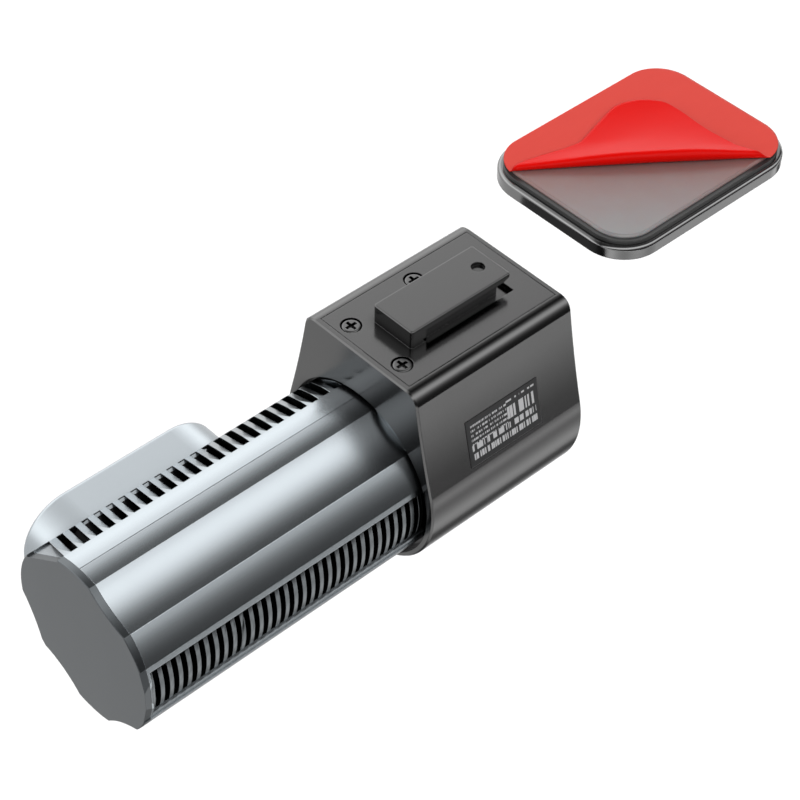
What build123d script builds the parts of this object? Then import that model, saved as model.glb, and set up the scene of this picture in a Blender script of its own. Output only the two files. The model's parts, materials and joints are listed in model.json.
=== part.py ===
from build123d import *
import os
from math import asin, cos, degrees, radians, sin, tan

# Dash camera: a fluted barrel camera turns on a housing block, and the block's rail slides
# into an adhesive windscreen bracket.
# Frame: origin at the centre of the adhesive face, +X along the barrel axis from the barrel's
# free end towards the bracket, +Y the way the lens looks, +Z up towards the windscreen.
# The bracket is drawn pulled off the rail, which is joint value 0.

os.makedirs("parts", exist_ok=True)

# ---------------------------------------------------------------- driving dimensions (mm)
separation = 53.0           # bracket centre to block centre while the bracket is off the rail

plate_length, plate_width, plate_thickness = 50.0, 38.0, 2.9
plate_corner = 8.75
pad_rise = 1.45             # adhesive face above the bracket plate
border_inset, border_width, border_height = 1.1, 0.9, 0.8
liner_thickness = 0.2

rail_length, rail_width, rail_height = 24.7, 10.3, 3.95
rail_start = -11.6          # rail's -X end, from the block centre
flange_thickness, neck_width = 1.35, 7.2
slide_gap = 0.25            # between rail and bracket channel, and rail top and plate

block_length, block_radius = 39.0, 20.2
block_centre_drop = 27.6    # centre of the block's round underside below its top
block_side_angle = 14.9     # the round underside rises this far above its centre
block_shoulder = (15.05, 26.0)  # where a side meets its shoulder, from the barrel axis
wall = 2.6
cover_length, cover_width, cover_thickness = 36.5, 23.4, 1.7

axis_drop = 28.4            # barrel axis below the block's top
barrel_radius, bore_radius = 17.75, 14.2
far_lobe_radius = 18.15     # the lobe over the lens pod stands a little proud
barrel_length = 64.0        # barrel end face to the block's -X face
joint_gap = 0.3             # barrel to block
recess_radius, recess_depth = 18.65, 1.8    # the block takes the barrel's end in a shallow recess
flange_length, flange_radius = 0.8, 17.6    # round rim at that end, which the flutes stop against

pod_length, pod_height, pod_reach = 43.6, 20.2, 23.2
pod_corner = 9.9
pod_x = -57.8               # pod centre, from the block centre

# ---------------------------------------------------------------- levels and stations
plate_top = -pad_rise
plate_under = plate_top - plate_thickness
cover_top = plate_under - slide_gap - rail_height
axis_z = cover_top - axis_drop
block_x = -separation
block_start = block_x - block_length / 2
block_end = block_x + block_length / 2
barrel_end = block_start - barrel_length
joint_x = block_start + recess_depth
shell_stop = joint_x - joint_gap

# Round the barrel section: start angle, end angle and depth at mid angle of each flute, and the
# radius of the lobe after it. Angles are measured from +Z towards -Y. The last stretch is not
# hollow: the vent row is cut into it.
vent_from, vent_to = 343.0, 304.0
flutes = [
    (12.0, 45.5, 1.45, barrel_radius),
    (129.0, 163.0, 1.35, barrel_radius),
    (191.0, 226.0, 1.75, barrel_radius),
    (231.0, 265.0, 1.05, far_lobe_radius),
    (vent_to, vent_from, 0.0, barrel_radius),
]
seam_angle = -2.0           # the two half shells part here and opposite

# Rear grille: a sunk window of upright ribs
grille_from, grille_to, grille_radius = 71.9, 108.4, 16.95
grille_pitch, grille_slot, grille_count = 2.0, 1.15, 32
grille_start = 2.5          # first slot, from the barrel's end face
ledge_flats = (76.4, 103.9)  # mid angles of the flats that leave a ledge along the window
ledge_distance = 17.35      # those flats from the barrel axis
lead_in_length = 1.9        # the window's floor slopes down from the end face over this length

# Top vent: a row of gills. Each slot starts at a straight edge and ends at a crest, and the
# surface falls from the crest to the next straight edge.
vent_pitch, vent_slot, vent_count = 2.72, 1.4, 23
vent_start = 3.1            # near corner of the first slot, from the barrel's end face
vent_slant = 15.5           # slots run towards the block as they go down the far side
vent_lean = 25.0            # slots lean towards the free end as they go outwards
vent_fall = 24.0            # slope of the surface behind each crest
vent_half = 5.85            # half length of a slot
dish_depth = 0.35           # the half gill at the barrel's end face, below the straight edges

# ---------------------------------------------------------------- planes and shared shapes


def across(x):
    """Plane square to the barrel axis at x, with Y and Z as its directions."""
    return Plane(origin=(x, 0, axis_z), x_dir=(0, 1, 0), z_dir=(1, 0, 0))


def level(z, x=0.0):
    """Horizontal plane at height z, centred on x."""
    return Plane(origin=(x, 0, z), x_dir=(1, 0, 0), z_dir=(0, 0, 1))


def facing_lens(y, x):
    """Plane square to the lens axis, with X along the barrel and Z up as its directions."""
    return Plane(origin=(x, y, axis_z), x_dir=(1, 0, 0), z_dir=(0, -1, 0))


def on_ring(angle, radius):
    """Point of a barrel section at an angle from +Z towards -Y."""
    return (-radius * sin(radians(angle)), radius * cos(radians(angle)))


def radial(angle, radius, x, slant=0.0):
    """Plane tangent to the barrel at an angle, its first direction turned from X by slant."""
    out_y, out_z = on_ring(angle, 1.0)
    along = Vector(1, 0, 0).rotate(Axis((0, 0, 0), (0, out_y, out_z)), slant)
    origin = (x, radius * out_y, axis_z + radius * out_z)
    return Plane(origin=origin, x_dir=along, z_dir=(0, out_y, out_z))


def fluted_section(x):
    """Barrel section: lobes on the barrel radius, joined by shallow concave flutes."""
    with BuildSketch(across(x)) as section:
        with BuildLine():
            for number, (start, end, depth, lobe) in enumerate(flutes):
                following = flutes[(number + 1) % len(flutes)][0]
                if following < end:
                    following += 360.0
                lobe_before = flutes[number - 1][3]
                ThreePointArc(
                    on_ring(start, lobe_before),
                    on_ring((start + end) / 2, barrel_radius - depth),
                    on_ring(end, lobe),
                )
                ThreePointArc(
                    on_ring(end, lobe),
                    on_ring((end + following) / 2, lobe),
                    on_ring(following, lobe),
                )
        make_face()
    return section.sketch


def block_section(x, inset=0.0, top=None):
    """Block section: flat top, rounded shoulders, slightly hollow sides and a round bottom.

    It is drawn in by inset, and cut off level at top, a height above the barrel axis.
    """
    centre = axis_drop - block_centre_drop
    with BuildSketch(across(x)) as section:
        with BuildLine():
            bottom = CenterArc((0, centre), block_radius, -90, 90 + block_side_angle)
            side = TangentArc(bottom @ 1, block_shoulder, tangent=bottom % 1)
            lean = degrees(asin(-(side % 1).X))
            radius = (axis_drop - block_shoulder[1]) / (1 - sin(radians(lean)))
            shoulder = JernArc(side @ 1, side % 1, radius, 90 - lean)
            Line(shoulder @ 1, (0, axis_drop))
            mirror(about=Plane.YZ)
        make_face()
        if inset:
            offset(amount=-inset)
        if top is not None:
            with Locations((0, top + 25)):
                Rectangle(50, 50, mode=Mode.SUBTRACT)
    return section.sketch


def plate_section(z, inset=0.0):
    """Bracket outline at height z, drawn in by inset."""
    with BuildSketch(level(z)) as section:
        RectangleRounded(
            plate_length - 2 * inset, plate_width - 2 * inset, plate_corner - inset
        )
    return section.sketch


def pod_section(y, inset=0.0):
    """Lens pod outline at distance y from the barrel axis, drawn in by inset."""
    with BuildSketch(facing_lens(y, block_x + pod_x)) as section:
        RectangleRounded(
            pod_length - 2 * inset, pod_height - 2 * inset, pod_corner - inset
        )
    return section.sketch


def cross_screw(seat, head_radius, head_height, shank_radius, shank_length):
    """Pan-head screw with a cross recess. The head stands on the seat plane."""
    with BuildPart() as screw:
        with BuildSketch(seat):
            Circle(head_radius)
        extrude(amount=head_height)
        fillet(screw.faces().sort_by(Axis(seat.origin, seat.z_dir))[-1].edges(), head_height * 0.45)
        with BuildSketch(seat.offset(head_height)):
            Rectangle(head_radius * 1.3, head_radius * 0.36)
            Rectangle(head_radius * 0.36, head_radius * 1.3)
        extrude(amount=-head_height * 0.75, mode=Mode.SUBTRACT)
        with BuildSketch(seat):
            Circle(shank_radius)
        extrude(amount=-shank_length)
    return screw.part


def finish(built, name):
    """Label a finished piece and write its STEP file."""
    built.part.label = name
    export_step(built.part, f"parts/{name}.step")


# ---------------------------------------------------------------- windscreen bracket
channel_half = rail_width / 2 + slide_gap
hook_reach = neck_width / 2 + 0.3
hook_top = cover_top + rail_height - flange_thickness - 0.3
hook_bottom = cover_top + 0.3
channel_wall = 2.2
channel_length = 20.0
spring_x = 7.3              # detent dome, from the bracket centre

with BuildPart() as bracket_plate:
    extrude(plate_section(plate_under), amount=plate_thickness)
    fillet(bracket_plate.faces().sort_by(Axis.Z)[-1].edges(), 0.7)
    fillet(bracket_plate.faces().sort_by(Axis.Z)[0].edges(), 0.3)
    for side in (-1, 1):
        with BuildSketch(level(plate_under)):
            with Locations((0, side * (channel_half + channel_wall / 2))):
                Rectangle(channel_length, channel_wall)
        extrude(amount=hook_bottom - plate_under)
        with BuildSketch(level(hook_bottom)):
            with Locations((0, side * (hook_reach + channel_half) / 2)):
                Rectangle(channel_length, channel_half - hook_reach)
        extrude(amount=hook_top - hook_bottom)
    with BuildSketch(level(plate_under, channel_length / 2 + 1.65)):
        Rectangle(1.5, 2 * (channel_half + channel_wall))
    extrude(amount=hook_bottom - plate_under)
    for side in (-1, 1):
        with BuildSketch(level(plate_under, channel_length / 2 + 0.45)):
            with Locations((0, side * (channel_half + channel_wall / 2))):
                Rectangle(0.92, channel_wall)
        extrude(amount=hook_bottom - plate_under)
    with BuildSketch(level(plate_under, 1.2)):
        Rectangle(16.5, 4.6)
    extrude(amount=0.9, mode=Mode.SUBTRACT)
finish(bracket_plate, "bracket_plate")

with BuildPart() as detent_spring:
    with BuildSketch(level(plate_under + 0.62, 1.2)):
        Rectangle(16.3, 4.2)
    extrude(amount=0.26)
    with Locations((spring_x, 0, plate_under + 1.0)):
        Sphere(1.15)
    split(bisect_by=Plane.XY.offset(plate_under + 0.88), keep=Keep.BOTTOM)
finish(detent_spring, "detent_spring")

with BuildPart() as pad_border:
    extrude(plate_section(plate_top, border_inset), amount=border_height)
    extrude(
        plate_section(plate_top, border_inset + border_width),
        amount=border_height,
        mode=Mode.SUBTRACT,
    )
finish(pad_border, "pad_border")

with BuildPart() as adhesive_pad:
    extrude(plate_section(plate_top, border_inset + border_width), amount=pad_rise)
    chamfer(adhesive_pad.faces().sort_by(Axis.Z)[-1].edges(), 0.4)
finish(adhesive_pad, "adhesive_pad")

# The liner still covers the far side of the pad. Its near corner is peeled and laid back over
# it, so its envelope is the flat film with a low wedge on top along the fold.
fold_a, fold_b = (-23.4, 12.6), (17.6, -17.4)
flap_tip = (12.2, 10.8)
fold_height = 2.6

with BuildPart() as release_liner:
    extrude(plate_section(0, border_inset), amount=liner_thickness)
    with BuildSketch(Plane.XY):
        with BuildLine():
            Polyline(fold_a, fold_b, (30, -30), (-30, -30), (-30, 12.6), close=True)
        make_face()
    extrude(amount=liner_thickness, mode=Mode.SUBTRACT)
    with BuildSketch(Plane.XY.offset(liner_thickness)):
        with BuildLine():
            Polyline((-19.4, 9.9), (13.6, -14.2), flap_tip, close=True)
        make_face()
    extrude(amount=fold_height - liner_thickness)
    chamfer(release_liner.faces().sort_by(Axis.Z)[-1].edges().sort_by(Axis.Y)[-2:], 1.6, 3.4)
finish(release_liner, "release_liner")

# ---------------------------------------------------------------- housing block
ledge_drop = 5.5            # underside of the ledge that the cover screws into
cavity_start, cavity_end = joint_x + 2.5, block_end - 2.3
cover_screw_spots = [(-15.4, 6.8), (-15.4, -6.8), (1.6, 8.4)]
usb_drop = 11.8             # centre of the USB inlet below the block's top
button_drop = 30.0          # centre of the button below the block's top
button_radius = 4.42
bush_radius, shaft_radius, shaft_bore = 8.95, 7.0, 4.0

with BuildPart() as mount_housing:
    extrude(block_section(block_start), amount=block_length)
    rims = mount_housing.faces().group_by(Axis.X)
    chamfer(rims[0].edges() + rims[-1].edges(), 0.35)
    # hollow, with a thick ledge left under the top
    cavity = block_section(cavity_start, wall, axis_drop - ledge_drop)
    extrude(cavity, amount=cavity_end - cavity_start, mode=Mode.SUBTRACT)
    with BuildSketch(level(cover_top, block_x)):
        Rectangle(cover_length + 0.24, cover_width + 0.24)
    extrude(amount=-cover_thickness, mode=Mode.SUBTRACT)
    with BuildSketch(level(cover_top, block_x + 1.7)):
        RectangleRounded(29.0, 13.0, 1.5)
    extrude(amount=-ledge_drop, mode=Mode.SUBTRACT)
    with BuildSketch(level(cover_top, block_x)):
        with Locations(*cover_screw_spots):
            Circle(1.0)
    extrude(amount=-ledge_drop, mode=Mode.SUBTRACT)
    # recess for the barrel's end, and the seat of the pivot bush in its floor
    with BuildSketch(across(block_start)):
        Circle(recess_radius)
    extrude(amount=recess_depth, mode=Mode.SUBTRACT)
    with BuildSketch(across(joint_x)):
        Circle(bush_radius + 0.05)
    extrude(amount=4, mode=Mode.SUBTRACT)
    # button hole, USB inlet hole and the two posts of the button board
    with BuildSketch(across(block_end)):
        with Locations((0, axis_drop - button_drop)):
            Circle(button_radius + 0.08)
        with Locations((0, axis_drop - usb_drop)):
            RectangleRounded(9.4, 3.6, 1.7)
    extrude(amount=-4, mode=Mode.SUBTRACT)
    with BuildSketch(across(cavity_end)):
        with Locations((-8.2, axis_drop - button_drop), (8.2, axis_drop - button_drop)):
            Circle(1.6)
            Circle(0.75, mode=Mode.SUBTRACT)
    extrude(amount=-5.7)
finish(mount_housing, "mount_housing")

board_posts = [(-8.5, 4.2), (-8.5, -4.2), (9.8, 4.2), (9.8, -4.2)]
power_board_top = cover_top - 9.0
power_board_thickness = 1.2

with BuildPart() as rail_cover:
    with BuildSketch(level(cover_top, block_x)):
        Rectangle(cover_length, cover_width)
    extrude(amount=-cover_thickness)
    # sunk pocket under the overhanging rail
    with BuildSketch(level(cover_top, block_x + 2.6)):
        Rectangle(21.6, 11.6)
    extrude(amount=-1.1, mode=Mode.SUBTRACT)
    # rail: solid heel, narrow neck and overhanging flange with a lead-in at the open end
    with BuildSketch(level(cover_top, block_x + rail_start + 1.8)):
        Rectangle(3.6, rail_width)
    extrude(amount=rail_height)
    with BuildSketch(level(cover_top - 1.1, block_x + 1.1)):
        Rectangle(20.0, neck_width)
    extrude(amount=rail_height + 0.5)
    with BuildSketch(level(cover_top + rail_height, block_x + rail_start + rail_length / 2)):
        Rectangle(rail_length, rail_width)
    extrude(amount=-flange_thickness)
    heel_x = block_x + rail_start
    heel = rail_cover.edges().filter_by(Axis.Z).filter_by_position(
        Axis.X, heel_x - 0.1, heel_x + 0.1
    )
    fillet(heel, 0.6)
    tip_x = heel_x + rail_length
    tip_edges = rail_cover.edges().filter_by_position(Axis.X, tip_x - 0.1, tip_x + 0.1)
    fillet(tip_edges.filter_by(Axis.Z), 0.6)
    flange_under = cover_top + rail_height - flange_thickness
    with BuildSketch(Plane(origin=(tip_x, 0, flange_under), x_dir=(1, 0, 0), z_dir=(0, -1, 0))):
        Polygon((-2.4, -0.2), (0.6, -0.2), (0.6, 0.9), (0, 0.7), align=None)
    extrude(amount=rail_width, both=True, mode=Mode.SUBTRACT)
    fillet(rail_cover.faces().sort_by(Axis.Z)[-1].edges(), 0.3)
    # detent dimple, screw recesses and screw holes
    with BuildSketch(level(cover_top + rail_height, block_x + 9.7)):
        Circle(1.35)
    extrude(amount=-0.7, mode=Mode.SUBTRACT)
    with BuildSketch(level(cover_top, block_x)):
        with Locations(*cover_screw_spots):
            Circle(2.05)
    extrude(amount=-0.95, mode=Mode.SUBTRACT)
    with BuildSketch(level(cover_top, block_x)):
        with Locations(*cover_screw_spots):
            Circle(1.1)
    extrude(amount=-cover_thickness, mode=Mode.SUBTRACT)
    # posts for the power board
    with BuildSketch(level(cover_top - cover_thickness, block_x)):
        with Locations(*board_posts):
            Circle(1.7)
    extrude(amount=power_board_top - cover_top + cover_thickness)
    with BuildSketch(level(power_board_top, block_x)):
        with Locations(*board_posts):
            Circle(0.75)
    extrude(amount=5, mode=Mode.SUBTRACT)
finish(rail_cover, "rail_cover")

with BuildPart() as cover_screws:
    for spot_x, spot_y in cover_screw_spots:
        seat = Plane(origin=(block_x + spot_x, spot_y, cover_top - 0.95), z_dir=(0, 0, 1))
        add(cross_screw(seat, 1.85, 0.9, 0.97, 4.4))
finish(cover_screws, "cover_screws")

label_length, label_height, label_thickness = 18.2, 9.9, 0.1
label_drop = 16.4           # label centre below the block's top

with BuildPart() as rating_label:
    label_start = block_x - label_length / 2
    extrude(block_section(label_start, -label_thickness), amount=label_length)
    extrude(block_section(label_start), amount=label_length, mode=Mode.SUBTRACT)
    with Locations((block_x, -18, cover_top - label_drop)):
        Box(label_length + 2, 10, label_height, mode=Mode.INTERSECT)
finish(rating_label, "rating_label")

with BuildPart() as power_board:
    with BuildSketch(level(power_board_top, block_x + 1.7)):
        RectangleRounded(27.4, 12.2, 1.0)
    extrude(amount=-power_board_thickness)
    with BuildSketch(level(power_board_top, block_x)):
        with Locations(*board_posts):
            Circle(0.9)
    extrude(amount=-power_board_thickness, mode=Mode.SUBTRACT)
finish(power_board, "power_board")

power_board_under = power_board_top - power_board_thickness

with BuildPart() as power_board_screws:
    for spot_x, spot_y in board_posts:
        seat = Plane(
            origin=(block_x + spot_x, spot_y, power_board_under), x_dir=(1, 0, 0), z_dir=(0, 0, -1)
        )
        add(cross_screw(seat, 1.5, 0.8, 0.72, 4.6))
finish(power_board_screws, "power_board_screws")

with BuildPart() as usb_socket:
    with BuildSketch(across(block_end - 0.4)):
        with Locations((0, axis_drop - usb_drop)):
            RectangleRounded(8.94, 3.2, 1.5)
            RectangleRounded(8.34, 2.6, 1.2, mode=Mode.SUBTRACT)
    extrude(amount=-7.2)
    with BuildSketch(across(block_end - 7.6)):
        with Locations((0, axis_drop - usb_drop)):
            RectangleRounded(8.94, 3.2, 1.5)
    extrude(amount=0.6)
    with BuildSketch(across(block_end - 7.2)):
        with Locations((0, axis_drop - usb_drop)):
            Rectangle(6.7, 0.7)
    extrude(amount=6.2)
finish(usb_socket, "usb_socket")

with BuildPart() as supercapacitors:
    with BuildSketch(across(block_x - 5.5)):
        with Locations((-4.1, axis_drop - 14.35), (4.1, axis_drop - 14.35)):
            Circle(4.0)
    extrude(amount=12.5)
    fillet(supercapacitors.edges(), 0.5)
finish(supercapacitors, "supercapacitors")

# ---------------------------------------------------------------- pivot between block and barrel
bush_flange = 11.0
washer_start = joint_x + 3.8
nut_start = washer_start + 0.75

with BuildPart() as pivot_bush:
    with BuildSketch(across(joint_x)):
        Circle(bush_radius)
        Circle(shaft_radius + 0.06, mode=Mode.SUBTRACT)
    extrude(amount=3.7)
    with BuildSketch(across(cavity_start)):
        Circle(bush_flange)
        Circle(bush_radius, mode=Mode.SUBTRACT)
    extrude(amount=1.2)
finish(pivot_bush, "pivot_bush")

with BuildPart() as pivot_shaft:
    with BuildSketch(across(shell_stop - 4.0)):
        Circle(12.6)
    extrude(amount=2.0)
    with BuildSketch(across(shell_stop - 2.0)):
        Circle(shaft_radius)
    extrude(amount=nut_start + 1.8 - shell_stop + 2.0)
    with BuildSketch(across(shell_stop - 4.0)):
        Circle(shaft_bore)
    extrude(amount=20, mode=Mode.SUBTRACT)
    with BuildSketch(across(shell_stop - 4.0)):
        with PolarLocations(10.95, 4, start_angle=45):
            Circle(0.9)
    extrude(amount=2.0, mode=Mode.SUBTRACT)
finish(pivot_shaft, "pivot_shaft")

with BuildPart() as friction_washer:
    with BuildSketch(across(washer_start)):
        Circle(9.8)
        Circle(shaft_radius + 0.04, mode=Mode.SUBTRACT)
    extrude(amount=0.7)
finish(friction_washer, "friction_washer")

with BuildPart() as retaining_nut:
    with BuildSketch(across(nut_start)):
        Circle(9.6)
        Circle(shaft_radius + 0.02, mode=Mode.SUBTRACT)
        with PolarLocations(9.6, 6):
            Circle(1.0, mode=Mode.SUBTRACT)
    extrude(amount=1.8)
finish(retaining_nut, "retaining_nut")

with BuildPart() as shaft_screws:
    for corner in range(4):
        offset_y = 10.95 * cos(radians(45 + 90 * corner))
        offset_z = 10.95 * sin(radians(45 + 90 * corner))
        seat = Plane(
            origin=(shell_stop - 4.0, offset_y, axis_z + offset_z), x_dir=(0, 1, 0), z_dir=(-1, 0, 0)
        )
        add(cross_screw(seat, 1.5, 0.8, 0.78, 3.6))
finish(shaft_screws, "shaft_screws")

cable_drop, cable_end = 9.3, 25.6    # where the cable drops and ends, from the block centre

with BuildPart() as link_cable:
    with BuildLine() as cable_line:
        FilletPolyline(
            (block_x - cable_drop, 0, power_board_under - 0.05),
            (block_x - cable_drop, 0, axis_z),
            (block_x - cable_end, 0, axis_z),
            radius=4.5,
        )
    with BuildSketch(Plane(origin=cable_line.line @ 0, z_dir=cable_line.line % 0)):
        Circle(1.3)
    sweep()
finish(link_cable, "link_cable")

# ---------------------------------------------------------------- button in the block's end
with BuildPart() as record_button:
    with BuildSketch(across(block_end - 3.5)):
        with Locations((0, axis_drop - button_drop)):
            Circle(button_radius)
    extrude(amount=4.3)
    fillet(record_button.faces().sort_by(Axis.X)[-1].edges(), 0.5)
    with BuildSketch(across(block_end - 3.8)):
        with Locations((0, axis_drop - button_drop)):
            Circle(5.6)
    extrude(amount=1.2)
finish(record_button, "record_button")

switch_face = block_end - 8.0

with BuildPart() as button_board:
    with BuildSketch(across(switch_face - 1.2)):
        with Locations((0, axis_drop - button_drop)):
            RectangleRounded(20.4, 8.0, 1.0)
            with Locations((-8.2, 0), (8.2, 0)):
                Circle(0.9, mode=Mode.SUBTRACT)
    extrude(amount=1.2)
finish(button_board, "button_board")

with BuildPart() as tact_switch:
    with BuildSketch(across(switch_face)):
        with Locations((0, axis_drop - button_drop)):
            RectangleRounded(6.0, 6.0, 0.5)
    extrude(amount=2.6)
    with BuildSketch(across(switch_face + 2.6)):
        with Locations((0, axis_drop - button_drop)):
            Circle(1.6)
    extrude(amount=1.0)
finish(tact_switch, "tact_switch")

with BuildPart() as button_board_screws:
    for side in (-1, 1):
        seat = Plane(
            origin=(switch_face - 1.2, side * 8.2, cover_top - button_drop),
            x_dir=(0, 1, 0),
            z_dir=(-1, 0, 0),
        )
        add(cross_screw(seat, 1.45, 0.8, 0.72, 4.4))
finish(button_board_screws, "button_board_screws")

# ---------------------------------------------------------------- barrel shells
cap_thickness = 1.4
shell_start = barrel_end + cap_thickness + 0.02
seam_gap = 0.05
card_x, card_y = block_x - 49.0, -3.1
board_post_spots = [(block_x - along, up) for along in (76.0, 28.0) for up in (9.2, -9.2)]
board_back, board_front = -5.6, -4.0


def grille_recess():
    """Window of the rear grille, all along the barrel: a sunk convex strip between two ledges."""
    length = shell_stop - barrel_end + 2
    with BuildPart() as recess:
        with BuildSketch(across(barrel_end + lead_in_length)):
            with BuildLine():
                upper = Line(on_ring(grille_from, grille_radius), on_ring(grille_from, 20))
                outer = ThreePointArc(upper @ 1, on_ring(90, 20), on_ring(grille_to, 20))
                lower = Line(outer @ 1, on_ring(grille_to, grille_radius))
                ThreePointArc(lower @ 1, on_ring(90, grille_radius), upper @ 0)
            make_face()
        extrude(amount=length)
        # flats above and below the window, which end in its two ledges
        for ledge_angle in ledge_flats:
            with BuildSketch(radial(ledge_angle, ledge_distance, barrel_end - 1)):
                with Locations((length / 2, 0)):
                    Rectangle(length, 5.2)
            extrude(amount=3)
        # lead-in: the floor slopes up to the flats at the end face
        with BuildSketch(Plane(origin=(barrel_end, 0, axis_z), x_dir=(1, 0, 0), z_dir=(0, 0, 1))):
            Polygon(
                (-1, -20), (-1, -ledge_distance - 0.15), (0, -ledge_distance),
                (3.2, -grille_radius + 0.25), (3.2, -20), align=None,
            )
        extrude(amount=grille_radius * cos(radians(grille_from)), both=True)
    return recess.part


def vent_facet(step, rise=0.0):
    """Plane through the straight edge of one gill: X along the barrel, Y away from the cabin."""
    near = Vector(0, *on_ring(vent_from, barrel_radius))
    far = Vector(0, *on_ring(vent_to, far_lobe_radius))
    middle = (near + far) / 2
    out = Vector(1, 0, 0).cross(far - near)
    x = barrel_end + vent_start + vent_pitch * step + vent_half * tan(radians(vent_slant))
    facet = Plane(origin=(x, middle.Y, axis_z + middle.Z), x_dir=(1, 0, 0), z_dir=out)
    return facet.offset(rise)


def slanted(start, width):
    """Outline on a vent facet with slanted sides, and ends square to the barrel."""
    shift = vent_half * tan(radians(vent_slant))
    return Polygon(
        (start - shift, -vent_half), (start + width - shift, -vent_half),
        (start + width + shift, vent_half), (start + shift, vent_half), align=None,
    )


def leaning(facet):
    """Direction in which the slots go outwards from a vent facet."""
    return facet.z_dir * cos(radians(vent_lean)) - facet.x_dir * sin(radians(vent_lean))


def gill_slopes():
    """What is cut away above the slopes behind the crests, and the half gill at the end face."""
    with BuildPart() as slopes:
        for step in range(vent_count):
            facet = vent_facet(step)
            turn = radians(vent_slant)
            along = facet.x_dir * sin(turn) + facet.y_dir * cos(turn)
            back = facet.y_dir * sin(turn) - facet.x_dir * cos(turn)
            with BuildSketch(Plane(origin=facet.origin, x_dir=back, z_dir=along)):
                reach = 0.85 * vent_pitch
                Polygon((0, 0), (reach, reach * tan(radians(vent_fall))), (reach, 3), (0, 3), align=None)
            extrude(amount=9, both=True)
        dish = vent_facet(-1, -dish_depth)
        with BuildSketch(dish):
            slanted(-6, 6 + vent_slot)
        extrude(amount=4, dir=leaning(dish))
    return slopes.part


def gill_slots():
    """Through slots of the top vent. The last ones stop short of the barrel's flange."""
    with BuildPart() as slots:
        for step in range(vent_count):
            facet = vent_facet(step)
            with BuildSketch(facet):
                slanted(0, vent_slot)
            extrude(amount=5, dir=leaning(facet), both=True)
        flange_start = Plane.YZ.offset(shell_stop - flange_length)
        split(bisect_by=flange_start, keep=Keep.BOTTOM)
    return slots.part


def half_shell(side):
    """One half of the barrel shell: side +1 carries the lens pod, side -1 faces the cabin."""
    seam = Plane(
        origin=(0, side * seam_gap, axis_z),
        x_dir=(1, 0, 0),
        z_dir=(0, -cos(radians(seam_angle)), -sin(radians(seam_angle))),
    )
    with BuildPart() as shell:
        extrude(fluted_section(shell_start), amount=shell_stop - shell_start)
        with BuildSketch(across(shell_stop)):
            Circle(flange_radius)
        extrude(amount=-flange_length)
        with BuildSketch(across(shell_start)):
            Circle(bore_radius)
        extrude(amount=shell_stop - 2.0 - shell_start, mode=Mode.SUBTRACT)
        with BuildSketch(across(shell_stop)):
            Circle(9.3)
            with PolarLocations(10.95, 4, start_angle=45):
                Circle(0.8)
        extrude(amount=-2.0, mode=Mode.SUBTRACT)
        split(bisect_by=seam, keep=Keep.BOTTOM if side > 0 else Keep.TOP)
    return shell.part


with BuildPart() as rear_shell:
    add(half_shell(-1))
    add(grille_recess(), mode=Mode.SUBTRACT)
    # slots of the grille
    for step in range(grille_count):
        slot_x = barrel_end + grille_start + grille_pitch * step
        with BuildSketch(radial((grille_from + grille_to) / 2, 12, slot_x + grille_slot / 2)):
            Rectangle(grille_slot, 9.9)
        extrude(amount=8, mode=Mode.SUBTRACT)
    # posts of the main board
    for post_x, post_z in board_post_spots:
        with BuildSketch(Plane(origin=(post_x, board_back, axis_z + post_z), z_dir=(0, -1, 0))):
            Circle(1.6)
        extrude(amount=6.0)
        with BuildSketch(Plane(origin=(post_x, board_back, axis_z + post_z), z_dir=(0, -1, 0))):
            Circle(0.75)
        extrude(amount=4.6, mode=Mode.SUBTRACT)
    # mouth of the card slot in the underside
    with BuildSketch(level(axis_z - 20, card_x)):
        with Locations((0, card_y)):
            RectangleRounded(12.0, 1.9, 0.6)
    extrude(amount=8, mode=Mode.SUBTRACT)
finish(rear_shell, "rear_shell")

with BuildPart() as front_shell:
    add(half_shell(1))
    extrude(pod_section(8, -0.05), amount=-20, mode=Mode.SUBTRACT)
    add(gill_slopes(), mode=Mode.SUBTRACT)
    add(gill_slots(), mode=Mode.SUBTRACT)
finish(front_shell, "front_shell")

with BuildPart() as end_cap:
    extrude(fluted_section(barrel_end), amount=cap_thickness)
    chamfer(end_cap.faces().sort_by(Axis.X)[0].edges(), 0.15)
    add(grille_recess(), mode=Mode.SUBTRACT)
    add(gill_slopes(), mode=Mode.SUBTRACT)
    with BuildSketch(across(barrel_end + cap_thickness)):
        Circle(bore_radius - 0.05)
        Circle(12.6, mode=Mode.SUBTRACT)
    extrude(amount=2.4)
finish(end_cap, "end_cap")

# ---------------------------------------------------------------- lens pod and optics
pod_back, pod_wall = 10.6, 1.6
pod_floor = pod_reach - 2.0         # inner face of the pod's front wall
glass_seat = pod_reach - 1.0
lens_mouth = pod_floor + 0.9
lens_x = block_x + pod_x
light_x, microphone_x = lens_x - 15.2, lens_x + 15.2


def disc(y, x, radius, depth):
    """Plain disc facing the lens direction, its far face at y + depth."""
    with BuildPart() as piece:
        with BuildSketch(facing_lens(y, x)):
            Circle(radius)
        extrude(amount=-depth)
    return piece.part


with BuildPart() as lens_pod:
    extrude(pod_section(pod_back), amount=pod_back - pod_reach)
    fillet(lens_pod.faces().sort_by(Axis.Y)[-1].edges(), 0.9)
    extrude(pod_section(pod_back, pod_wall), amount=pod_back - pod_floor, mode=Mode.SUBTRACT)
    extrude(pod_section(glass_seat, 1.5), amount=-2.0, mode=Mode.SUBTRACT)
    add(disc(pod_floor - 1, lens_x, 7.1, 4), mode=Mode.SUBTRACT)
    add(disc(pod_floor - 1, light_x, 1.05, 4), mode=Mode.SUBTRACT)
    add(disc(pod_floor - 1, microphone_x, 0.6, 4), mode=Mode.SUBTRACT)
finish(lens_pod, "lens_pod")

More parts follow.
